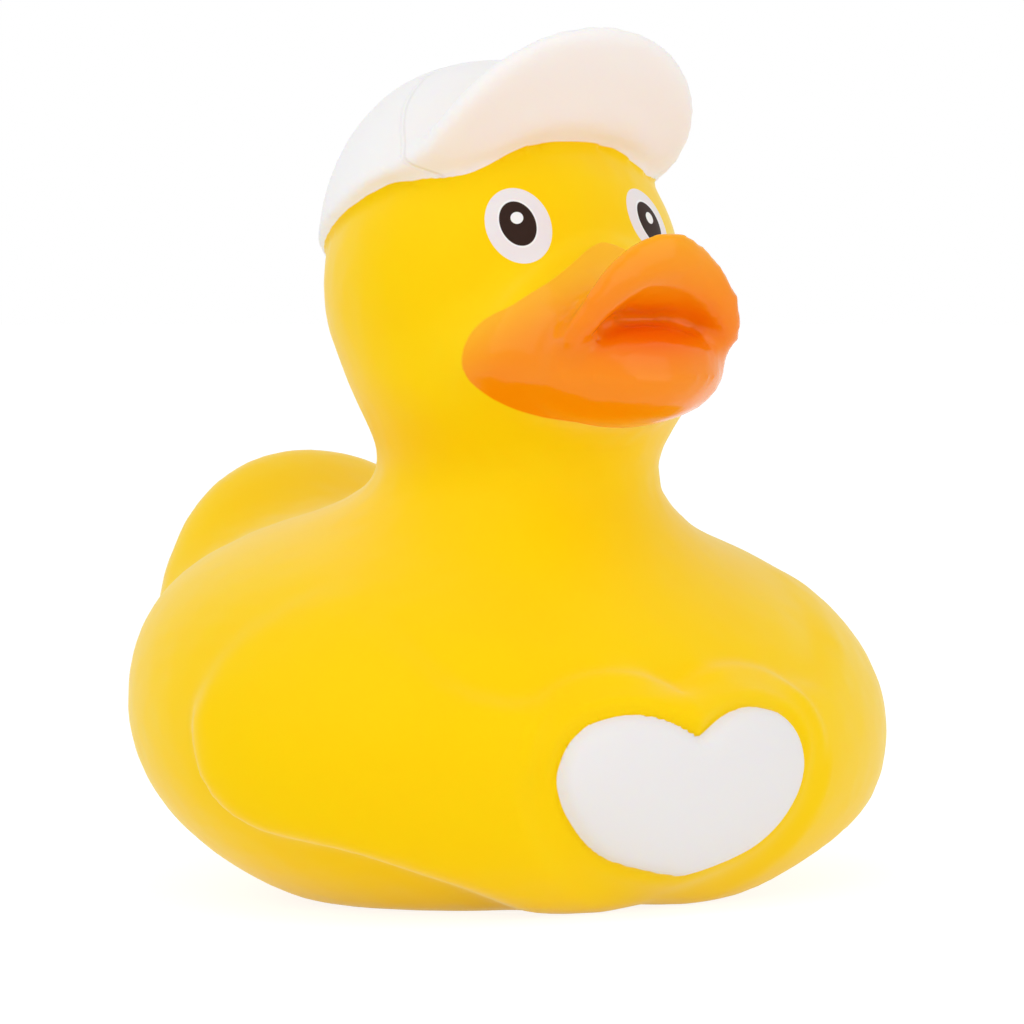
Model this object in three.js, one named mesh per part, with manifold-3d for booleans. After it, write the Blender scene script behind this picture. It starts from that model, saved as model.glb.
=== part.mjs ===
// A bath duck, rotationally moulded in one piece of soft vinyl: body, tail, head, open bill,
// peaked cap with its peak turned up, and a heart held against the chest by both wings.
// Millimetres, +Z up. The duck faces -Y, and the origin is under the body, on the surface it stands on.
import * as THREE from 'three';
import { MeshoptSimplifier } from 'three/addons/libs/meshopt_simplifier.module.js';
import { mergeVertices } from 'three/addons/utils/BufferGeometryUtils.js';
import Module from 'manifold-3d';

const degrees = Math.PI / 180;

// Body and tail.
const body = {
  side: 42.4,
  front: 30.8,
  back: 37.1,
  above: 21.4,
  below: 22.7,
  middle: [0, 0.6, 19.2],
  squareness: 2.2,
  lean: 11 * degrees,
};
const baseEdge = 1.2;
const tail = {
  side: 21.5,
  front: 9,
  back: 8.5,
  above: 21.2,
  below: 17,
  middle: [0, 34, 26],
  squareness: 2,
  lean: -25 * degrees,
};
const tailFillet = 12;

// Neck and head.
const neckRadius = 13.1;
const neckPlace = -1.9;
const neckFrom = 20;
const neckTo = 58;
const neckFillet = 13;
const head = {
  side: 19.7,
  front: 17.3,
  back: 19.6,
  above: 20,
  below: 19.6,
  middle: [0, 1, 64.5],
  squareness: 2,
  lean: 0,
};
const cheeks = {
  side: 17.6,
  front: 15.5,
  back: 16.1,
  above: 9,
  below: 8.5,
  middle: [0, -4, 54.5],
  squareness: 2,
  lean: 0,
};
const cheekFillet = 5;
const headFillet = 7;

// Wings: a fuller skin over the body, inside an outline drawn unrolled round the body, in degrees from
// the middle of the chest and millimetres up.
const wings = {
  side: 44.3,
  front: 33.2,
  back: 37,
  above: 24.1,
  below: 21,
  middle: [0, -0.2, 17],
  squareness: 2.1,
  lean: 11 * degrees,
};
const wingUnroll = 37;
const wingOutline = [
  [0.5, 18.5], [8, 25.4], [21, 24.6], [34, 23], [45, 25.2], [56, 30.4], [69, 34.6],
  [80.5, 31], [84.5, 21], [78, 11], [60, 7.5], [44, 3.6], [25, -1], [0.5, -3],
];
const wingOutlineSteps = 70;
const wingFillet = 1;
const wingSoftest = 2.9;
const wingCrispest = 1.8;
const wingSoftFrom = 12;
const wingSoftTo = 30;

// Heart: an oval whose middle is pushed down, in front view.
const heartRise = 1.7;
const heartHalfWidth = 15.7;
const heartHalfHeight = 10.6;
const heartMiddle = 11.9;
const heartBend = 0.42;
const heartBendEase = 42;
const heartEdge = 1.6;
const heartFillet = 0.4;

// Cap.
const crown = {
  side: 20.6,
  front: 20,
  back: 20.5,
  above: 24.3,
  below: 24.3,
  middle: [0, 1, 64.5],
  squareness: 2.35,
  lean: 0,
};
const capRimHeight = 75;
const capRimSlope = 0.475;
const capRimEdge = 1;
const capFillet = 0.3;
const peakHalfWidth = 17.2;
const peakLength = 14.6;
const peakFoot = 77.4;
const peakThickness = 3.2;
const peakPlace = -9.8;
const peakHeight = 80.3;
const peakLean = 0.58;
const peakWrap = 0.0105;
const peakWrapHeight = 3;
const peakWrapBelow = 2;
const peakDip = 2.3;
const peakDipPlace = 11.8;
const peakDipWidth = 4.5;
const peakDipFrom = 1;
const peakDipTo = 5;
const peakEdge = 2.4;
const peakFillet = 2;

// Bill: a flared upper half with its underside hollowed to a lip, and a lower half with a rounded tongue.
const muzzle = {
  side: 15.4,
  front: 10.5,
  back: 10,
  above: 6.6,
  below: 6.4,
  middle: [0, -11.8, 57],
  squareness: 2,
  lean: 0,
};
const mouthHeight = 57;
const saddlePlace = 23.8;
const saddleHeight = 7.6;
const saddleHalfWidth = 11;
const flareTall = 0.0877;
const flareWide = 0.02;
const rootWide = 0.06;
const flareBehind = 7;
const billRoot = -6;
const billRootEdge = 5;
const flareAhead = 9.4;
const billBelow = 4;
const billRimPlace = 23.4;
const billRimReach = 8.3;
const billRimRadius = 1.4;
const billSkin = 2.6;
const hollowBelow = 1.5;
const palatePlace = 20.5;
const palateEdge = 5;
const tongue = {
  side: 9.2,
  front: 4.6,
  back: 6,
  above: 3.6,
  below: 4,
  middle: [0, -23.4, 57],
  squareness: 2,
  lean: 0,
};
const lowerBill = {
  side: 11.6,
  front: 8.6,
  back: 9,
  above: 1.8,
  below: 5,
  middle: [0, -19.6, 55.2],
  squareness: 2.2,
  lean: 0,
};
const billRimEdge = 0.6;
const billHollowEdge = 0.8;
const billRimFillet = 0.6;
const tongueFillet = 0.8;
const lowerBillFillet = 2.5;
const muzzleFillet = 3;
const billFillet = 3;

// Wall of the moulding, and the vent hole in its base.
const wall = 2;
const ventRadius = 2.5;
const ventPlace = 5;
const ventSides = 24;

const skinStep = 0.6;
const liningStep = 1.6;
const block = 4;
const crossingMargin = 0.03;
const skinTriangles = 10200;
const liningTriangles = 1200;
const tiny = 1e-6;

// A lopsided rounded ellipsoid, as the distance of a point from its surface along the line to its middle.
function egg({ side, front, back, above, below, middle, squareness, lean }) {
  const cos = Math.cos(lean);
  const sin = Math.sin(lean);
  return (x, y, z) => {
    const dx = x - middle[0];
    const dy = (y - middle[1]) * cos + (z - middle[2]) * sin;
    const dz = (z - middle[2]) * cos - (y - middle[1]) * sin;
    const plan = Math.hypot(dx / side, dy / (dy < 0 ? front : back));
    const height = Math.abs(dz) / (dz > 0 ? above : below);
    const share = Math.pow(Math.pow(plan, squareness) + Math.pow(height, squareness), 1 / squareness);
    const length = Math.sqrt(dx * dx + dy * dy + dz * dz);
    return length - length / Math.max(share, tiny);
  };
}

// Two forms joined with a fillet, and what two forms share with a rounded edge.
function join(a, b, fillet) {
  const near = Math.max(fillet - Math.abs(a - b), 0);
  return Math.min(a, b) - near * near / (4 * fillet);
}
function share(a, b, edge) {
  return -join(-a, -b, edge);
}

const bodyForm = egg(body);
const tailForm = egg(tail);
const wingsForm = egg(wings);
const headForm = egg(head);
const cheekForm = egg(cheeks);
const crownForm = egg(crown);
const muzzleForm = egg(muzzle);
const tongueForm = egg(tongue);
const lowerBillForm = egg(lowerBill);

function neckForm(x, y, z) {
  return Math.max(Math.hypot(x, y - neckPlace) - neckRadius, neckFrom - z, z - neckTo);
}

// An ellipse as the distance of a point from its outline along the line to its middle.
function oval(along, up, long, tall) {
  const size = Math.max(Math.hypot(along / long, up / tall), tiny);
  return Math.hypot(along, up) * (1 - 1 / size);
}

const wingPoints = wingOutline.map(([angle, up]) => new THREE.Vector3(angle * degrees * wingUnroll, up, 0));
const wingLine = new THREE.CatmullRomCurve3(wingPoints, true, 'centripetal').getPoints(wingOutlineSteps);

// How far a point lies outside a closed line, less than zero inside it.
function fromLine(line, along, up) {
  let nearest = Infinity;
  let inside = false;
  for (let i = 1; i < line.length; i++) {
    const a = line[i - 1];
    const b = line[i];
    const run = b.x - a.x;
    const climb = b.y - a.y;
    const part = ((along - a.x) * run + (up - a.y) * climb) / (run * run + climb * climb);
    const held = THREE.MathUtils.clamp(part, 0, 1);
    nearest = Math.min(nearest, Math.hypot(along - a.x - held * run, up - a.y - held * climb));
    if ((a.y > up) !== (b.y > up) && along < a.x + (up - a.y) / climb * run) inside = !inside;
  }
  return inside ? -nearest : nearest;
}

function wingForm(cover, x, y, z) {
  if (cover > wingSoftest) return Infinity;
  const along = Math.atan2(Math.abs(x), body.middle[1] - y) * wingUnroll;
  const softness = THREE.MathUtils.smoothstep(z, wingSoftFrom, wingSoftTo);
  const edge = wingCrispest + (wingSoftest - wingCrispest) * softness;
  return share(cover, fromLine(wingLine, along, z), edge);
}

function heartForm(cover, x, y, z) {
  if (y > 0) return Infinity;
  const across = Math.abs(x);
  const bent = z - heartMiddle - heartBend * across * (1 - across / heartBendEase);
  const outline = oval(across, bent, heartHalfWidth, heartHalfHeight);
  return share(cover - heartRise, outline, heartEdge);
}

function capForm(x, y, z) {
  const fromDip = (Math.abs(x) - peakDipPlace) / peakDipWidth;
  const dip = peakDip * Math.exp(-fromDip * fromDip) * THREE.MathUtils.smoothstep(-y, peakDipFrom, peakDipTo);
  const aboveRim = (capRimHeight - capRimSlope * y - dip - z) / Math.hypot(1, capRimSlope);
  const wrap = peakWrap * x * x * Math.exp(Math.min(peakFoot - z, peakWrapBelow) / peakWrapHeight);
  const fromPeak = (y - peakPlace - wrap + peakLean * (z - peakHeight)) / Math.hypot(1, peakLean);
  const outline = oval(x, Math.max(z - peakFoot, 0), peakHalfWidth, peakLength);
  const peak = share(Math.abs(fromPeak) - peakThickness / 2, outline, peakEdge);
  const behindPeak = share(crownForm(x, y, z), -fromPeak - peakThickness / 2, peakEdge);
  return share(join(behindPeak, peak, peakFillet), aboveRim, capRimEdge);
}

function billForm(x, y, z) {
  const up = z - mouthHeight;
  const past = THREE.MathUtils.clamp(-y - saddlePlace, -flareBehind, flareAhead);
  const flare = past * past;
  const wide = saddleHalfWidth + (past > 0 ? flareWide : rootWide) * flare;
  const tall = up > 0 ? saddleHeight + flareTall * flare : billBelow;
  const size = Math.max(Math.hypot(x / wide, up / tall), tiny);
  const climb = up > 0 ? up / tall / size : 0;
  const steepness = Math.hypot(1, 2 * flareTall * Math.max(past, 0) * climb);
  const skinDepth = Math.hypot(x, up) * (1 - 1 / size) / steepness;
  const pastRim = -y - billRimPlace - billRimReach * climb;
  const underside = share(skinDepth + billSkin, -up - hollowBelow, hollowBelow);
  const hollow = share(underside, y + palatePlace, palateEdge);
  const bead = Math.hypot(pastRim + billRimRadius, skinDepth + billSkin / 2) - billRimRadius;
  let form = share(share(skinDepth, pastRim, billRimEdge), -hollow, billHollowEdge);
  form = join(form, Math.max(bead, -up - hollowBelow), billRimFillet);
  form = share(form, y - billRoot, billRootEdge);
  form = join(form, tongueForm(x, y, z), tongueFillet);
  form = join(form, lowerBillForm(x, y, z), lowerBillFillet);
  return join(form, muzzleForm(x, y, z), muzzleFillet);
}

function duckForm(x, y, z) {
  let form = join(bodyForm(x, y, z), tailForm(x, y, z), tailFillet);
  form = join(form, neckForm(x, y, z), neckFillet);
  const cover = wingsForm(x, y, z);
  form = join(form, wingForm(cover, x, y, z), wingFillet);
  form = join(form, heartForm(cover, x, y, z), heartFillet);
  const top = join(headForm(x, y, z), cheekForm(x, y, z), cheekFillet);
  form = join(form, top, headFillet);
  form = join(form, billForm(x, y, z), billFillet);
  form = join(form, capForm(x, y, z), capFillet);
  return share(form, -z, baseEdge);
}

// The skin of a form: a net of triangles laid through a grid of tetrahedra, then thinned.
const gridLow = [-48, -44, -3.5];
const gridHigh = [48, 52, 96];
const cornerOrders = [[1, 3, 7], [1, 5, 7], [2, 3, 7], [2, 6, 7], [4, 5, 7], [4, 6, 7]];
const tetraFlips = [false, true, true, false, false, true];

function skin(form, step, triangles) {
  const counts = gridLow.map((edge, i) => Math.ceil((gridHigh[i] - edge) / step) + 1);
  const stride = [1, counts[0], counts[0] * counts[1]];
  const offset = (corner) => (corner & 1) + (corner >> 1 & 1) * stride[1] + (corner >> 2) * stride[2];
  const values = new Float32Array(stride[2] * counts[2]);
  const middle = (block - 1) / 2;
  const nearBlock = block * step * Math.sqrt(3);
  for (let k = 0; k < counts[2]; k += block) {
    for (let j = 0; j < counts[1]; j += block) {
      for (let i = 0; i < counts[0]; i += block) {
        const centre = form(...[i, j, k].map((n, axis) => gridLow[axis] + (n + middle) * step));
        const last = [i, j, k].map((n, axis) => Math.min(n + block, counts[axis]));
        for (let c = k; c < last[2]; c++) {
          for (let b = j; b < last[1]; b++) {
            for (let a = i; a < last[0]; a++) {
              const at = a + b * stride[1] + c * stride[2];
              values[at] = Math.abs(centre) > nearBlock ? centre : form(...place(at));
            }
          }
        }
      }
    }
  }

  function place(at) {
    const k = Math.floor(at / stride[2]);
    const j = Math.floor((at - k * stride[2]) / stride[1]);
    const i = at - k * stride[2] - j * stride[1];
    return [gridLow[0] + i * step, gridLow[1] + j * step, gridLow[2] + k * step];
  }

  const positions = [];
  const indices = [];
  const crossings = new Map();
  function crossing(from, to) {
    const key = Math.min(from, to) * values.length + Math.max(from, to);
    if (!crossings.has(key)) {
      const share = values[from] / (values[from] - values[to]);
      const part = THREE.MathUtils.clamp(share, crossingMargin, 1 - crossingMargin);
      const start = place(from);
      const end = place(to);
      crossings.set(key, positions.length / 3);
      positions.push(...start.map((v, i) => v + part * (end[i] - v)));
    }
    return crossings.get(key);
  }

  function layTriangles(corners, flipped) {
    const inner = corners.filter((at) => values[at] < 0);
    const outer = corners.filter((at) => values[at] >= 0);
    if (inner.length === 0 || outer.length === 0) return;
    const parity = permutationParity([...inner, ...outer].map((at) => corners.indexOf(at)));
    const turned = flipped !== parity;
    const lay = (a, b, c) => indices.push(...(turned ? [a, c, b] : [a, b, c]));
    if (inner.length === 1) {
      lay(...outer.map((at) => crossing(inner[0], at)));
    } else if (inner.length === 3) {
      lay(...inner.map((at) => crossing(at, outer[0])));
    } else {
      const [a, b, c, d] = [[0, 0], [0, 1], [1, 1], [1, 0]].map(([i, o]) => crossing(inner[i], outer[o]));
      lay(a, b, c);
      lay(a, c, d);
    }
  }

  for (let k = 0; k < counts[2] - 1; k++) {
    for (let j = 0; j < counts[1] - 1; j++) {
      for (let i = 0; i < counts[0] - 1; i++) {
        const at = i + j * stride[1] + k * stride[2];
        const below = values[at] < 0;
        let crossed = false;
        for (let corner = 1; corner < 8 && !crossed; corner++) {
          crossed = (values[at + offset(corner)] < 0) !== below;
        }
        if (!crossed) continue;
        cornerOrders.forEach((order, n) => {
          layTriangles([at, ...order.map((corner) => at + offset(corner))], tetraFlips[n]);
        });
      }
    }
  }
  return thinned(new Float32Array(positions), new Uint32Array(indices), triangles);
}

function permutationParity(order) {
  let odd = false;
  for (let i = 0; i < order.length; i++) {
    for (let j = i + 1; j < order.length; j++) {
      if (order[i] > order[j]) odd = !odd;
    }
  }
  return odd;
}

function thinned(positions, indices, triangles) {
  const [kept] = MeshoptSimplifier.simplify(indices, positions, 3, triangles * 3, 1, ['RegularizeLight']);
  const geometry = new THREE.BufferGeometry();
  geometry.setAttribute('position', new THREE.BufferAttribute(positions, 3));
  geometry.setIndex(new THREE.BufferAttribute(kept, 1));
  return mergeVertices(geometry.toNonIndexed(), 1e-5);
}

await MeshoptSimplifier.ready;
const wasm = await Module();
wasm.setup();

function plain(geometry) {
  const bare = geometry.toNonIndexed();
  bare.deleteAttribute('normal');
  bare.deleteAttribute('uv');
  return bare;
}

function solid(geometry) {
  return new wasm.Manifold(new wasm.Mesh({
    numProp: 3,
    vertProperties: geometry.getAttribute('position').array,
    triVerts: new Uint32Array(geometry.index.array),
  }));
}

function geometryOf(made) {
  const mesh = made.getMesh();
  const geometry = new THREE.BufferGeometry();
  geometry.setAttribute('position', new THREE.BufferAttribute(new Float32Array(mesh.vertProperties), 3));
  geometry.setIndex(new THREE.BufferAttribute(new Uint32Array(mesh.triVerts), 1));
  geometry.computeVertexNormals();
  return geometry;
}

const outside = solid(skin(duckForm, skinStep, skinTriangles));
const lining = solid(skin((x, y, z) => duckForm(x, y, z) + wall, liningStep, liningTriangles));
const vent = new THREE.CylinderGeometry(ventRadius, ventRadius, 4 * wall, ventSides);
vent.rotateX(Math.PI / 2).translate(0, ventPlace, wall);
const shell = outside.subtract(lining).subtract(solid(mergeVertices(plain(vent))));

const vinyl = new THREE.MeshStandardMaterial({ color: '#ffd200', roughness: 0.45, metalness: 0 });
const duck = new THREE.Mesh(geometryOf(shell), vinyl);
duck.name = 'duck';

const group = new THREE.Group();
group.add(duck);

export default group;
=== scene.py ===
import math
import bpy
import numpy as np
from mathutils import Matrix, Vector


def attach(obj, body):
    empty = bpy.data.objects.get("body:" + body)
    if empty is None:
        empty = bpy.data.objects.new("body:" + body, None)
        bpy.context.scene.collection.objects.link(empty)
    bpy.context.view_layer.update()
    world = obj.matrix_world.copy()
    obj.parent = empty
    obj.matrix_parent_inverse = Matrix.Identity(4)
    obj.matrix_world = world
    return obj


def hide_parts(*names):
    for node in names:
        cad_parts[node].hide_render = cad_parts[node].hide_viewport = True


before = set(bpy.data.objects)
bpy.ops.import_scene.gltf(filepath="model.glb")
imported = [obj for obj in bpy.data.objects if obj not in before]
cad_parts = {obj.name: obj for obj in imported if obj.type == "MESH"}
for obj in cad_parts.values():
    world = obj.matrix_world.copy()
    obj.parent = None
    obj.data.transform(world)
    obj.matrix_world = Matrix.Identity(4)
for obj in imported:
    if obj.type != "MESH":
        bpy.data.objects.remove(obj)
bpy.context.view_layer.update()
mm = 0.001

# Camera: a long lens a little above the bill, turned to the duck's right so that both eyes, the whole
# heart and the near wing show.
camera_turn = math.radians(-35)
camera_rise = math.radians(3.25)
camera_distance = 550 * mm
camera_target = Vector((0, 0, 40.3 * mm))
camera_lens = 179.83
toward_camera = Vector((
    math.sin(camera_turn) * math.cos(camera_rise),
    -math.cos(camera_turn) * math.cos(camera_rise),
    math.sin(camera_rise),
))
bpy.ops.object.camera_add(
    location=camera_target + camera_distance * toward_camera,
    rotation=toward_camera.to_track_quat("Z", "Y").to_euler(),
)
camera = bpy.context.object
camera.data.lens = camera_lens
bpy.context.scene.camera = camera
bpy.context.scene.view_settings.view_transform = "Standard"

# Moulded skin: the duck is one hollow piece of soft vinyl, cast in a turning mould and pulled out of it
# hot. The solid's outer skin is taken from the frame, closed over the vent, laid again in an even fine
# mesh and eased, so that every fillet of the moulding runs smooth under the gloss.
wall = 2 * mm
vent_radius = 2.5 * mm
vent_place = Vector((0, 5 * mm, 0))
skin_mesh_size = 0.65 * mm
skin_easing = 0.5
skin_swelling = -0.5
skin_easing_turns = 13
# Places on the skin, in millimetres: the bill's rim, its mouth and the peak are eased by themselves.
rim_front = -25.5
rim_low = 54
mouth_height = 57
rim_across = 11.5
rim_above = 12.5
rim_easing_from = 0.7
rim_easing_to = 0.9
bill_easing_turns = 80
crept_rim_from = 21
crept_rim_to = 25
crept_rim_turns = 25
peak_front = -8
peak_low = 76.5
peak_easing_turns = 8
# Where the soft casting has crept from the solid's form as it cooled: place, move and reach, in
# millimetres. Each is mirrored, and fades out over its reach.
creep = [
    ((5, -30.5, 67.5), (0, 2.3, 1.3), 7),
    ((9, -30, 64), (1.1, 0, 0.3), 5),
    ((11, -28, 59), (1.1, -0.3, -0.3), 5),
    ((9, -27, 52.5), (-0.5, 0.4, 0.2), 5),
    ((0, 6, 49), (0, -1.6, 0), 11),
    ((33, 24, 40), (0.8, 0.6, 0), 10),
    ((31, 23, 11), (-0.7, -0.5, 0), 8),
    ((30, -21, 34), (-0.5, 0.4, 0), 8),
]
merging_distance = 0.01 * mm
least_weight = 0.01


def only(piece):
    """Makes one piece the selected and active one."""
    bpy.ops.object.select_all(action="DESELECT")
    piece.select_set(True)
    bpy.context.view_layer.objects.active = piece


def pick_faces(piece, chosen):
    """Selects the faces that a test on their middle picks, and goes into edit mode."""
    only(piece)
    bpy.ops.object.mode_set(mode="EDIT")
    bpy.ops.mesh.select_mode(type="FACE")
    bpy.ops.mesh.select_all(action="DESELECT")
    bpy.ops.object.mode_set(mode="OBJECT")
    for face in piece.data.polygons:
        face.select = bool(chosen(face.center))
    bpy.ops.object.mode_set(mode="EDIT")


def apply_modifier(piece, kind, **settings):
    """Adds a modifier to a piece, sets it and applies it."""
    only(piece)
    modifier = piece.modifiers.new(kind.lower(), kind)
    for setting, value in settings.items():
        setattr(modifier, setting, value)
    bpy.ops.object.modifier_apply(modifier=modifier.name)


def on_vent_wall(middle):
    """Whether a face of the solid lies on the wall of the vent."""
    across = (middle - vent_place).xy.length
    return across < vent_radius and merging_distance < middle.z < wall - merging_distance


skin = bpy.data.objects.new("duck_skin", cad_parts["duck"].data.copy())
bpy.context.scene.collection.objects.link(skin)
skin.data.materials.clear()
only(skin)
bpy.ops.object.mode_set(mode="EDIT")
bpy.ops.mesh.select_all(action="SELECT")
bpy.ops.mesh.remove_doubles(threshold=merging_distance)
bpy.ops.object.mode_set(mode="OBJECT")
pick_faces(skin, on_vent_wall)
bpy.ops.mesh.delete(type="FACE")
bpy.ops.mesh.select_all(action="SELECT")
bpy.ops.mesh.fill_holes(sides=0)
bpy.ops.mesh.separate(type="LOOSE")
bpy.ops.object.mode_set(mode="OBJECT")
sheets = sorted(bpy.context.selected_objects, key=lambda sheet: sheet.dimensions.z)
lining = sheets[0]
skin = sheets[-1]
lining.name = "duck_lining"
skin.name = "duck_skin"
apply_modifier(skin, "REMESH", mode="VOXEL", voxel_size=skin_mesh_size)
for _ in range(skin_easing_turns):
    apply_modifier(skin, "SMOOTH", factor=skin_easing, iterations=1)
    apply_modifier(skin, "SMOOTH", factor=skin_swelling, iterations=1)


def points_in_mm(piece):
    """The places of a piece's points, in millimetres."""
    places = np.empty(len(piece.data.vertices) * 3)
    piece.data.vertices.foreach_get("co", places)
    return places.reshape(-1, 3) / mm


def move_points(piece, moves):
    """Moves a piece's points, each by its own move in millimetres."""
    piece.data.vertices.foreach_set("co", ((points_in_mm(piece) + moves) * mm).ravel())
    piece.data.update()


def ease(value, start, end):
    """Runs smoothly from 0 at the start to 1 at the end."""
    part = np.clip((value - start) / (end - start), 0, 1)
    return part * part * (3 - 2 * part)


def on_thin_rim(middle):
    """Whether a face is on the bill's rim or on the peak, which bend more sharply than the body."""
    on_bill = middle.y < rim_front * mm and middle.z > rim_low * mm
    return on_bill or (middle.y < peak_front * mm and middle.z > peak_low * mm)


def ease_where(piece, name, weights, turns):
    """Eases a piece's points by their weights, which it keeps as a vertex group."""
    group = piece.vertex_groups.new(name=name)
    for point in np.flatnonzero(weights > least_weight):
        group.add([int(point)], float(weights[point]), "REPLACE")
    apply_modifier(piece, "SMOOTH", factor=skin_easing, iterations=turns, vertex_group=name)


pick_faces(skin, on_thin_rim)
bpy.ops.mesh.subdivide(number_cuts=1)
bpy.ops.object.mode_set(mode="OBJECT")
places = points_in_mm(skin)
on_bill = (places[:, 1] < rim_front) & (places[:, 2] > rim_low)
from_mouth = np.hypot(places[:, 0] / rim_across, (places[:, 2] - mouth_height) / rim_above)
around_mouth = ease(from_mouth, rim_easing_from, rim_easing_to)
ease_where(skin, "bill_rim", on_bill * around_mouth, bill_easing_turns)
on_peak = (places[:, 1] < peak_front) & (places[:, 2] > peak_low)
ease_where(skin, "peak_rim", on_peak.astype(float), peak_easing_turns)
places = points_in_mm(skin)
moves = np.zeros_like(places)
for middle, move, reach in creep:
    sides = ((1, 1, 1), (-1, 1, 1)) if middle[0] else ((1, 1, 1),)
    for side in sides:
        away = np.linalg.norm(places - np.multiply(middle, side), axis=1) / reach
        moves += np.exp(-away ** 2)[:, None] * np.multiply(move, side)
move_points(skin, moves)
places = points_in_mm(skin)
crept_rim = (places[:, 2] > rim_low) * ease(-places[:, 1], crept_rim_from, crept_rim_to)
ease_where(skin, "crept_rim", crept_rim * around_mouth, crept_rim_turns)

# Cap rim: the line where the cap's white ends, which rises to the front of the head and dips under each
# end of the turned-up peak. It is the same line as the step in the moulding.
rim_height = 75 * mm
rim_slope = 0.475
peak_dip = 2.3 * mm
peak_dip_place = 11.8 * mm
peak_dip_width = 4.5 * mm
peak_dip_from = 1 * mm
peak_dip_to = 5 * mm


def rim_at(x, y):
    """Height of the cap's rim over a place."""
    from_dip = (abs(x) - peak_dip_place) / peak_dip_width
    dip = peak_dip * np.exp(-from_dip ** 2) * ease(-y, peak_dip_from, peak_dip_to)
    return rim_height - rim_slope * y - dip


# Paint: the bill, the cap and the heart are sprayed through masks and the eyes are printed on. Each
# point of the skin keeps its distance from the edge of each sprayed field, less than zero inside it. The
# bill's mask covers the front half of the head alone.
bill_edge = [
    (0, 69.4), (2.3, 68.6), (6.7, 66), (11.1, 63.4), (14.1, 60.8), (15.6, 57.9), (15.3, 55.4),
    (12.5, 52.8), (7.7, 51), (0, 50.2),
]
heart_edge = [
    (0, 18.9), (2.8, 20.6), (5.3, 21.5), (8.4, 21.8), (11.8, 21.1), (13.9, 19.8), (15.3, 18),
    (16.1, 15.6), (15.9, 13.4), (14.8, 10.9), (12.3, 7.9), (8.9, 5.7), (3.8, 4.2), (0, 3.4),
]
edge_steps = 6
bill_front = -20.3
bill_low = 50
bill_high = 73
cap_overlap = 0.3
heart_front = -20
# Painted shade in the mouth: a darker orange over the palate above the tongue, its middle and spread in
# millimetres.
mouth_shade_middle = (0, -26, 60)
mouth_shade_spread = (8.5, 4.5, 3.2)


def keep_on_points(piece, name, values):
    """Keeps a value on each point of a piece, for its material to read."""
    layer = piece.data.attributes.new(name, "FLOAT", "POINT")
    layer.data.foreach_set("value", values)


def mirrored_line(half):
    """A closed line, smooth through the corners of its right half, which is mirrored onto the left."""
    corners = [np.array(corner, float) for corner in half]
    corners = [2 * corners[0] - corners[1]] + corners + [2 * corners[-1] - corners[-2]]
    line = []
    for before, start, end, after in zip(corners, corners[1:], corners[2:], corners[3:]):
        for t in np.linspace(0, 1, edge_steps, endpoint=False):
            line.append(
                start
                + 0.5 * t * (end - before)
                + t * t * (before - 2.5 * start + 2 * end - 0.5 * after)
                + t ** 3 * (-0.5 * before + 1.5 * start - 1.5 * end + 0.5 * after)
            )
    line = np.array(line + [corners[-2]])
    return np.concatenate([line, line[-2:0:-1] * (-1, 1)])


def from_line(line, across, up):
    """How far points lie outside a closed line, less than zero inside it."""
    nearest = np.full(len(across), np.inf)
    inside = np.zeros(len(across), bool)
    for start, end in zip(line, np.roll(line, -1, axis=0)):
        run, climb = end - start
        part = ((across - start[0]) * run + (up - start[1]) * climb) / (run ** 2 + climb ** 2)
        part = np.clip(part, 0, 1)
        gap = np.hypot(across - start[0] - part * run, up - start[1] - part * climb)
        nearest = np.minimum(nearest, gap)
        if climb != 0:
            crossing = (start[1] > up) != (end[1] > up)
            inside ^= crossing & (across < start[0] + (up - start[1]) / climb * run)
    return np.where(inside, -nearest, nearest)


x, y, z = points_in_mm(skin).T
ahead = np.maximum.reduce([y - bill_front, bill_low - z, z - bill_high])
from_bill = np.minimum(from_line(mirrored_line(bill_edge), x, z), ahead)
keep_on_points(skin, "bill_paint", np.maximum(from_bill, y))
keep_on_points(skin, "cap_paint", rim_at(x * mm, y * mm) / mm - z - cap_overlap)
# Painted shade: each point keeps how deep in the mouth's hollow it lies, for a darker orange there.
from_mouth_shade = (points_in_mm(skin) - mouth_shade_middle) / mouth_shade_spread
keep_on_points(skin, "mouth_painted_shade", np.exp(-np.sum(from_mouth_shade ** 2, axis=1)))

# Heart: the wings hold a raised heart whose edge is rounded down into a crease, and their tips close
# over it. The skin is eased flat there, the heart and the tips are raised along the heart's painted
# edge, and the crease is pressed in.
heart_flat_from = 1.5
heart_flat_to = 4.5
heart_flat_turns = 200
heart_sink = 0.65
heart_rise = 0.8
heart_round = 2.4
crease_depth = 0.35
crease_width = 0.7
wing_tip_rise = 0.6
wing_tip_reach = 4.3
wing_tip_round = 1.3
wing_tip_low = 13
wing_tip_high = 19


def from_heart():
    """How far each point lies outside the heart's painted edge, on the front of the body."""
    x, y, z = points_in_mm(skin).T
    return np.maximum(from_line(mirrored_line(heart_edge), x, z), y - heart_front)


near_heart = 1 - ease(from_heart(), heart_flat_from, heart_flat_to)
ease_where(skin, "heart", near_heart, heart_flat_turns)
outside = from_heart()
keep_on_points(skin, "heart_paint", outside)
outward = np.empty(len(skin.data.vertices) * 3)
skin.data.vertices.foreach_get("normal", outward)
inward_share = np.clip(-outside / heart_round, 0, 1)
rise = heart_rise * np.sqrt(1 - (1 - inward_share) ** 2)
crease = crease_depth * np.exp(-(outside / crease_width) ** 2)
over_heart = ease(points_in_mm(skin)[:, 2], wing_tip_low, wing_tip_high)
wing_tips = wing_tip_rise * over_heart * (1 - ease(outside, wing_tip_reach - wing_tip_round, wing_tip_reach))
wing_tips *= ease(outside, 0, wing_tip_round)
change = rise + wing_tips - crease - heart_sink * near_heart
move_points(skin, outward.reshape(-1, 3) * change[:, None])

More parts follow.
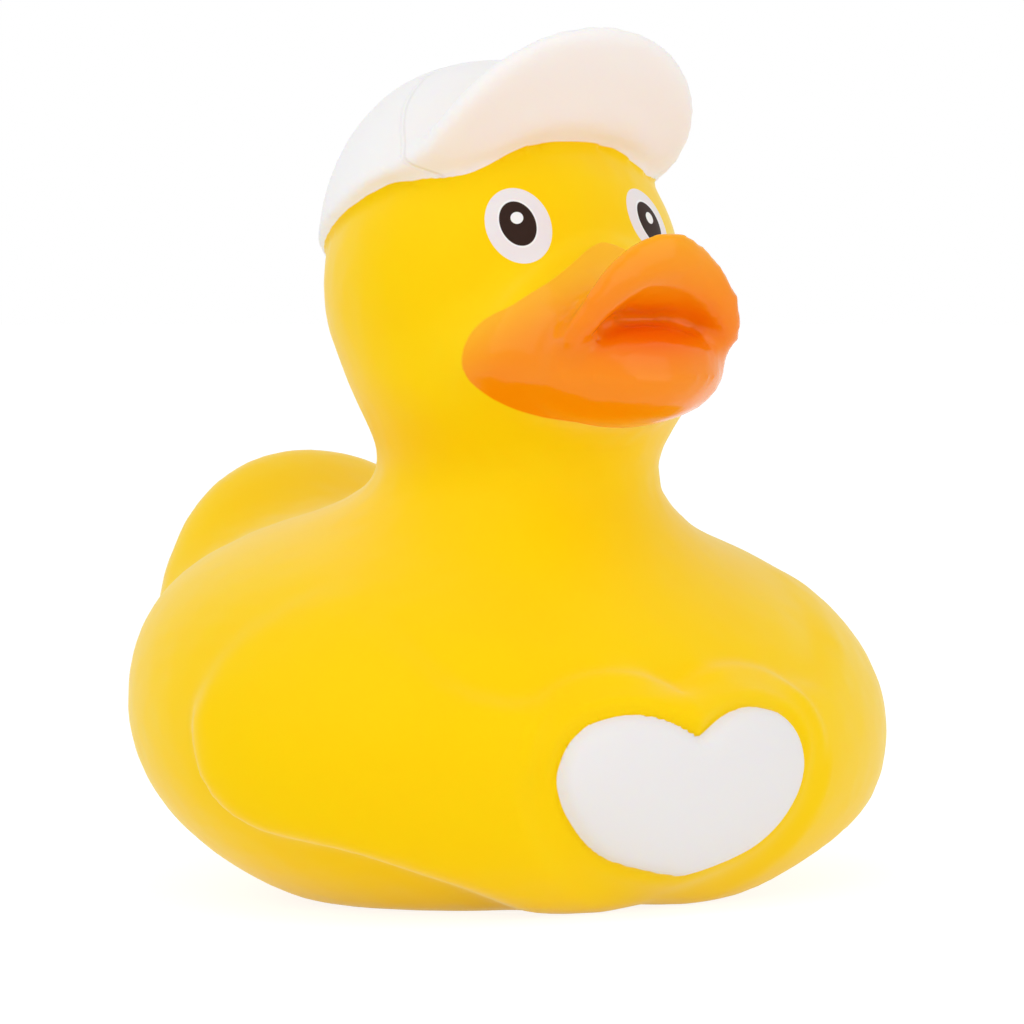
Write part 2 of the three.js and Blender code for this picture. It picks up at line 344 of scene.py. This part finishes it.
# Painted vinyl: satin yellow vinyl that takes light a little way in, with the faint grain of the mould.
# Over it lie gloss orange on the bill, matt white on the cap and the heart, and the printed eyes.
yellow = (1, 0.665, 0, 1)
deep_yellow = (1, 0.625, 0, 1)
# Painted sheen: cream mixed into the yellow towards grazing edges, in place of the reflection of the white
# surroundings.
painted_sheen_cream = (1, 0.8, 0.36, 1)
painted_sheen_share = 0.55
painted_sheen_narrowness = 3
orange = (0.96, 0.27, 0, 1)
# Lighter orange high at the bill's root: partly thin spray, partly painted light on the bill's top.
thin_and_lit_orange = (1, 0.52, 0, 1)
thin_and_lit_lean = 0.8
thin_and_lit_from = 41
thin_and_lit_to = 54
mouth_shade_orange = (0.92, 0.14, 0, 1)
cap_white = (0.92, 0.91, 0.91, 1)
# Peach on the forward faces low on the peak: partly thin white paint over yellow vinyl, partly painted warm
# light bounced from the forehead.
thin_white_and_bounce = (1, 0.76, 0.6, 1)
thin_white_and_bounce_share = 0.42
thin_white_and_bounce_low = 76
thin_white_and_bounce_high = 92
thin_white_and_bounce_left = 0.35
heart_white = (0.84, 0.82, 0.82, 1)
eye_white = (0.84, 0.79, 0.8, 1)
ring_white = (0.9, 0.9, 0.9, 1)
pupil_brown = (0.035, 0.017, 0.012, 1)
vinyl_roughness = 0.46
bill_roughness = 0.27
white_roughness = 0.42
print_roughness = 0.36
vinyl_gloss = 0.07
bill_coat = 0.6
bill_coat_roughness = 0.14
bill_coat_index = 1.36
vinyl_depth = 2 * mm
vinyl_depth_share = 0.2
vinyl_depth_colours = (1, 0.5, 0.12)
grain_size = 2.6
grain_detail = 3
grain_height = 0.006
mottle_size = 0.09
edge_wander = 0.06
edge_wander_size = 0.35
edge_softness = 0.05
paint_thickness = 0.035
eye_turn = 33
face_back = -5
eye_ovals = {
    "white": (-0.12, 71.05, 3.36, 4.06, 28),
    "pupil": (-0.06, 71.27, 1.84, 2.42, 27),
    "glint": (0.04, 71.86, 0.67, 0.62, 0),
}
ring_width = 0.16
seam_place = -4.9
seam_height = 78.4
seam_lean = 0.8
seam_width = 0.55
seam_depth = 0.12


def fill_sockets(tree, sockets, values):
    """Gives the inputs of a node their values or links."""
    for socket, value in zip(sockets, values):
        if isinstance(value, bpy.types.NodeSocket):
            tree.links.new(value, socket)
        else:
            socket.default_value = value


def place(tree, kind, *inputs, **settings):
    """Adds a node, sets it, and gives its first inputs values or links. Returns the node."""
    node = tree.nodes.new(kind)
    for setting, value in settings.items():
        setattr(node, setting, value)
    fill_sockets(tree, node.inputs, inputs)
    return node


def math_of(tree, operation, *inputs):
    """A math node's result."""
    return place(tree, "ShaderNodeMath", *inputs, operation=operation).outputs[0]


def blend_of(tree, share, below, above):
    """Two colours mixed by a mask."""
    node = place(tree, "ShaderNodeMix", data_type="RGBA")
    fill_sockets(tree, (node.inputs[0], node.inputs[6], node.inputs[7]), (share, below, above))
    return node.outputs[2]


def number_blend(tree, share, below, above):
    """Two numbers mixed by a mask."""
    node = place(tree, "ShaderNodeMix", data_type="FLOAT")
    fill_sockets(tree, (node.inputs[0], node.inputs[2], node.inputs[3]), (share, below, above))
    return node.outputs[0]


def new_group(name, inputs, outputs):
    """A shader node group with float or vector inputs and float outputs, and its two end nodes."""
    tree = bpy.data.node_groups.new(name, "ShaderNodeTree")
    for label, kind in inputs:
        tree.interface.new_socket(label, in_out="INPUT", socket_type=kind)
    for label in outputs:
        tree.interface.new_socket(label, in_out="OUTPUT", socket_type="NodeSocketFloat")
    return tree, tree.nodes.new("NodeGroupInput"), tree.nodes.new("NodeGroupOutput")


def use_group(tree, group, *inputs):
    """Places a group in a material and gives its inputs. Returns its outputs."""
    node = tree.nodes.new("ShaderNodeGroup")
    node.node_tree = group
    fill_sockets(tree, node.inputs, inputs)
    return node.outputs


number = "NodeSocketFloat"
vector = "NodeSocketVector"

# The mould's grain: fine noise as a height, and a slow drift of tone between thin and thick walls.
grain, given, out = new_group("mould_grain", [("Place", vector)], ["Height", "Tone"])
fine = place(grain, "ShaderNodeTexNoise", given.outputs["Place"])
fine.inputs["Scale"].default_value = grain_size
fine.inputs["Detail"].default_value = grain_detail
slow = place(grain, "ShaderNodeTexNoise", given.outputs["Place"])
slow.inputs["Scale"].default_value = mottle_size
grain.links.new(math_of(grain, "MULTIPLY", fine.outputs[0], grain_height), out.inputs["Height"])
grain.links.new(slow.outputs[0], out.inputs["Tone"])

# A sprayed edge: the distance wanders a little along the mask, and becomes a mask and a paint height.
edge_inputs = [("Distance", number), ("Place", vector)]
edge, given, out = new_group("sprayed_edge", edge_inputs, ["Mask", "Height"])
wander = place(edge, "ShaderNodeTexNoise", given.outputs["Place"])
wander.inputs["Scale"].default_value = edge_wander_size
off = math_of(edge, "MULTIPLY_ADD", wander.outputs[0], edge_wander, -edge_wander / 2)
moved = math_of(edge, "ADD", given.outputs["Distance"], off)
masked = place(edge, "ShaderNodeMapRange", moved, edge_softness, -edge_softness, 0, 1)
lipped = place(edge, "ShaderNodeMapRange", moved, 2 * edge_softness, -2 * edge_softness, 0, paint_thickness)
edge.links.new(masked.outputs[0], out.inputs["Mask"])
edge.links.new(lipped.outputs[0], out.inputs["Height"])

# A printed oval on the face: the distance of a point outside an ellipse, seen the way the eye looks.
oval_numbers = ["Side", "Across", "Up", "Half width", "Half height", "Tilt"]
oval_inputs = [("Place", vector)] + [(label, number) for label in oval_numbers]
oval, given, out = new_group("printed_oval", oval_inputs, ["Distance"])
axes = place(oval, "ShaderNodeSeparateXYZ", given.outputs["Place"]).outputs
sideways = math_of(oval, "MULTIPLY", axes[0], given.outputs["Side"])
sideways = math_of(oval, "MULTIPLY", sideways, math.cos(math.radians(eye_turn)))
across = math_of(oval, "MULTIPLY_ADD", axes[1], math.sin(math.radians(eye_turn)), sideways)
across = math_of(oval, "SUBTRACT", across, given.outputs["Across"])
up = math_of(oval, "SUBTRACT", axes[2], given.outputs["Up"])
tilt = math_of(oval, "RADIANS", given.outputs["Tilt"])
cosine = math_of(oval, "COSINE", tilt)
sine = math_of(oval, "SINE", tilt)
turned_across = math_of(oval, "MULTIPLY_ADD", across, cosine, math_of(oval, "MULTIPLY", up, sine))
turned_up = math_of(oval, "SUBTRACT", math_of(oval, "MULTIPLY", up, cosine),
                    math_of(oval, "MULTIPLY", across, sine))
wide = math_of(oval, "DIVIDE", turned_across, given.outputs["Half width"])
tall = math_of(oval, "DIVIDE", turned_up, given.outputs["Half height"])
size = math_of(oval, "SQRT", math_of(oval, "MULTIPLY_ADD", wide, wide, math_of(oval, "MULTIPLY", tall, tall)))
scaled = math_of(oval, "MULTIPLY", math_of(oval, "SUBTRACT", size, 1), given.outputs["Half width"])
behind_face = math_of(oval, "SUBTRACT", axes[1], face_back)
oval.links.new(math_of(oval, "MAXIMUM", scaled, behind_face), out.inputs["Distance"])


def printed(tree, where, name):
    """The distance outside one of the ovals, printed on both sides of the face with the same lean."""
    across, up, half_width, half_height, lean = eye_ovals[name]
    distances = []
    for side in (-1, 1):
        values = (where, side, across, up, half_width, half_height, side * lean)
        distances.append(use_group(tree, oval, *values)["Distance"])
    return math_of(tree, "MINIMUM", *distances)


def within(tree, distance, limit=0.0):
    """A crisp mask of where a distance is under a limit."""
    soft = edge_softness / 2
    return place(tree, "ShaderNodeMapRange", distance, limit + soft, limit - soft, 0, 1).outputs[0]


def new_vinyl(name):
    """A material of moulded vinyl, with its tree, its surface, its places in millimetres and its grain."""
    material = bpy.data.materials.new(name)
    material.use_nodes = True
    tree = material.node_tree
    surface = tree.nodes["Principled BSDF"]
    surface.inputs["Specular IOR Level"].default_value = vinyl_gloss
    coordinates = place(tree, "ShaderNodeTexCoord").outputs["Object"]
    scaled = place(tree, "ShaderNodeVectorMath", coordinates, operation="SCALE")
    scaled.inputs["Scale"].default_value = 1 / mm
    return material, tree, surface, scaled.outputs[0], use_group(tree, grain, scaled.outputs[0])


def give_relief(tree, surface, height):
    """Presses a height in millimetres into a surface as fine relief."""
    bump = place(tree, "ShaderNodeBump")
    bump.inputs["Distance"].default_value = mm
    tree.links.new(height, bump.inputs["Height"])
    tree.links.new(bump.outputs[0], surface.inputs["Normal"])


paint, tree, surface, where, grain_out = new_vinyl("painted_vinyl")
fields = {}
for name in ("bill_paint", "cap_paint", "heart_paint"):
    stored = place(tree, "ShaderNodeAttribute", attribute_name=name).outputs["Fac"]
    fields[name] = use_group(tree, edge, stored, where)
eye = within(tree, printed(tree, where, "white"))
from_pupil = printed(tree, where, "pupil")
ring = within(tree, from_pupil, ring_width)
pupil = within(tree, from_pupil)
glint = within(tree, printed(tree, where, "glint"))

# Orange is thinner towards the root of the bill, where the yellow shows through it. The lighter orange there,
# high on the bill, is also painted light falling on its top.
heights = place(tree, "ShaderNodeSeparateXYZ", where).outputs
toward_root = math_of(tree, "MULTIPLY_ADD", heights[1], thin_and_lit_lean, heights[2])
thin_and_lit = place(
    tree, "ShaderNodeMapRange", toward_root, thin_and_lit_from, thin_and_lit_to, 0, 1, interpolation_type="SMOOTHSTEP"
).outputs[0]
tone = grain_out["Tone"]
# Painted sheen: the yellow turns cream where the surface turns away from the camera, standing in for
# reflected white light.
facing = place(tree, "ShaderNodeLayerWeight").outputs["Facing"]
painted_sheen = math_of(tree, "MULTIPLY", math_of(tree, "POWER", facing, painted_sheen_narrowness), painted_sheen_share)
colour = blend_of(tree, painted_sheen, blend_of(tree, tone, yellow, deep_yellow), painted_sheen_cream)
bill_colour = blend_of(tree, thin_and_lit, orange, thin_and_lit_orange)
# Painted shade: darker orange deep in the mouth, in place of the shade in that hollow.
mouth_shade = place(tree, "ShaderNodeAttribute", attribute_name="mouth_painted_shade").outputs["Fac"]
bill_colour = blend_of(tree, mouth_shade, bill_colour, mouth_shade_orange)
colour = blend_of(tree, fields["bill_paint"]["Mask"], colour, bill_colour)
# Painted bounce light: the cap's white turns peach where it faces forward, more so low on the peak.
outward = place(tree, "ShaderNodeSeparateXYZ", place(tree, "ShaderNodeTexCoord").outputs["Normal"]).outputs
bounce_facing = math_of(tree, "MAXIMUM", math_of(tree, "MULTIPLY", outward[1], -thin_white_and_bounce_share), 0)
bounce_low = place(
    tree, "ShaderNodeMapRange", heights[2], thin_white_and_bounce_low, thin_white_and_bounce_high, 1, thin_white_and_bounce_left
).outputs[0]
cap_with_painted_bounce = blend_of(tree, math_of(tree, "MULTIPLY", bounce_facing, bounce_low), cap_white, thin_white_and_bounce)
colour = blend_of(tree, fields["cap_paint"]["Mask"], colour, cap_with_painted_bounce)
colour = blend_of(tree, fields["heart_paint"]["Mask"], colour, heart_white)
colour = blend_of(tree, eye, colour, eye_white)
colour = blend_of(tree, ring, colour, ring_white)
colour = blend_of(tree, pupil, colour, pupil_brown)
colour = blend_of(tree, glint, colour, ring_white)
tree.links.new(colour, surface.inputs["Base Color"])
roughness = number_blend(tree, fields["bill_paint"]["Mask"], vinyl_roughness, bill_roughness)
roughness = number_blend(tree, fields["cap_paint"]["Mask"], roughness, white_roughness)
roughness = number_blend(tree, fields["heart_paint"]["Mask"], roughness, white_roughness)
roughness = number_blend(tree, eye, roughness, print_roughness)
tree.links.new(roughness, surface.inputs["Roughness"])
toward_seam = math_of(tree, "MULTIPLY_ADD", heights[2], -seam_lean, heights[1])
from_seam = math_of(tree, "SUBTRACT", toward_seam, seam_place - seam_lean * seam_height)
from_seam = math_of(tree, "ABSOLUTE", from_seam)
seam = place(
    tree, "ShaderNodeMapRange", from_seam, 0, seam_width, 1, 0, interpolation_type="SMOOTHERSTEP"
).outputs[0]
seam = math_of(tree, "MULTIPLY", seam, math_of(tree, "MULTIPLY", fields["cap_paint"]["Mask"], -seam_depth))
relief = math_of(tree, "ADD", grain_out["Height"], seam)
for field in fields.values():
    relief = math_of(tree, "ADD", relief, field["Height"])
give_relief(tree, surface, relief)
coat = math_of(tree, "MULTIPLY", fields["bill_paint"]["Mask"], bill_coat)
tree.links.new(coat, surface.inputs["Coat Weight"])
surface.inputs["Coat Roughness"].default_value = bill_coat_roughness
surface.inputs["Coat IOR"].default_value = bill_coat_index
surface.inputs["Subsurface Weight"].default_value = vinyl_depth_share
surface.inputs["Subsurface Scale"].default_value = vinyl_depth
surface.inputs["Subsurface Radius"].default_value = vinyl_depth_colours

# Bare vinyl: the same yellow casting inside the duck and in the vent, where no paint reaches.
bare, tree, surface, _, grain_out = new_vinyl("bare_vinyl")
tree.links.new(blend_of(tree, grain_out["Tone"], yellow, deep_yellow), surface.inputs["Base Color"])
give_relief(tree, surface, grain_out["Height"])
surface.inputs["Roughness"].default_value = vinyl_roughness

# Hollow and vent: the casting has an even wall, and a round vent cut through its base lets it breathe
# when it is squeezed. The lining is cut back out of the skin, and then the vent.
vent_sides = 48
sharp_angle = math.radians(50)
skin.data.materials.append(paint)
skin.data.materials.append(bare)
lining.data.materials.append(bare)
bpy.ops.object.select_all(action="DESELECT")
bpy.ops.mesh.primitive_cylinder_add(
    vertices=vent_sides, radius=vent_radius, depth=4 * wall, location=vent_place + Vector((0, 0, wall / 2)))
vent = bpy.context.object
vent.data.materials.append(bare)
for cutter in (lining, vent):
    apply_modifier(skin, "BOOLEAN", operation="DIFFERENCE", object=cutter, solver="EXACT")
    bpy.data.objects.remove(cutter)
only(skin)
bpy.ops.object.shade_smooth_by_angle(angle=sharp_angle)
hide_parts("duck")
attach(skin, "root")

# Floor: a wide white sheet of paper that runs out of the picture and keeps a soft shadow.
floor_half_width = 3
floor_sides = 64
floor_paper = (0.8, 0.8, 0.8, 1)
floor_shadow_share = (0.3, 0.3, 0.3, 1)
floor_seen_light = 0.84
floor_bounced_light = 0.2


def seen_plainly(tree):
    """Whether a thing is seen by the camera, in a reflection or through something."""
    rays = place(tree, "ShaderNodeLightPath").outputs
    seen_in = math_of(tree, "MAXIMUM", rays["Is Glossy Ray"], rays["Is Transmission Ray"])
    return math_of(tree, "MAXIMUM", rays["Is Camera Ray"], seen_in)


bpy.ops.object.select_all(action="DESELECT")
bpy.ops.mesh.primitive_circle_add(vertices=floor_sides, radius=floor_half_width, fill_type="NGON")
floor = bpy.context.object
floor.name = "floor"
sheet = bpy.data.materials.new("white_sheet")
sheet.use_nodes = True
tree = sheet.node_tree
tree.nodes.clear()
sheets = []
for share, own_light in ((floor_paper, floor_bounced_light), (floor_shadow_share, floor_seen_light)):
    lit = place(tree, "ShaderNodeBsdfDiffuse", share).outputs[0]
    glow = place(tree, "ShaderNodeEmission", (1, 1, 1, 1), own_light).outputs[0]
    sheets.append(place(tree, "ShaderNodeAddShader", lit, glow).outputs[0])
mixed = place(tree, "ShaderNodeMixShader", seen_plainly(tree), *sheets).outputs[0]
place(tree, "ShaderNodeOutputMaterial", mixed)
floor.data.materials.append(sheet)

# Light: an even white tent all round, a broad soft box high on the duck's right, and a low one ahead.
tent_strength = 0.68
key_power = 3
key_size = 1.1
key_turn = math.radians(-70)
key_rise = math.radians(48)
key_distance = 0.9
fill_power = 1.2
fill_size = 0.6
fill_turn = math.radians(20)
fill_rise = math.radians(15)


def soft_box(name, turn, rise, power, size):
    """A square lamp that looks at the duck from a turn and a rise."""
    way = Vector((math.sin(turn) * math.cos(rise), -math.cos(turn) * math.cos(rise), math.sin(rise)))
    bpy.ops.object.light_add(
        type="AREA",
        location=camera_target + key_distance * way,
        rotation=way.to_track_quat("Z", "Y").to_euler(),
    )
    lamp = bpy.context.object
    lamp.name = name
    lamp.data.energy = power
    lamp.data.size = size


soft_box("key", key_turn, key_rise, key_power, key_size)
soft_box("fill", fill_turn, fill_rise, fill_power, fill_size)
tent = bpy.data.worlds.new("tent")
tent.use_nodes = True
bpy.context.scene.world = tent
tree = tent.node_tree
strength = number_blend(tree, seen_plainly(tree), tent_strength, 1.0)
tree.nodes["Background"].inputs["Color"].default_value = (1, 1, 1, 1)
tree.links.new(strength, tree.nodes["Background"].inputs["Strength"])
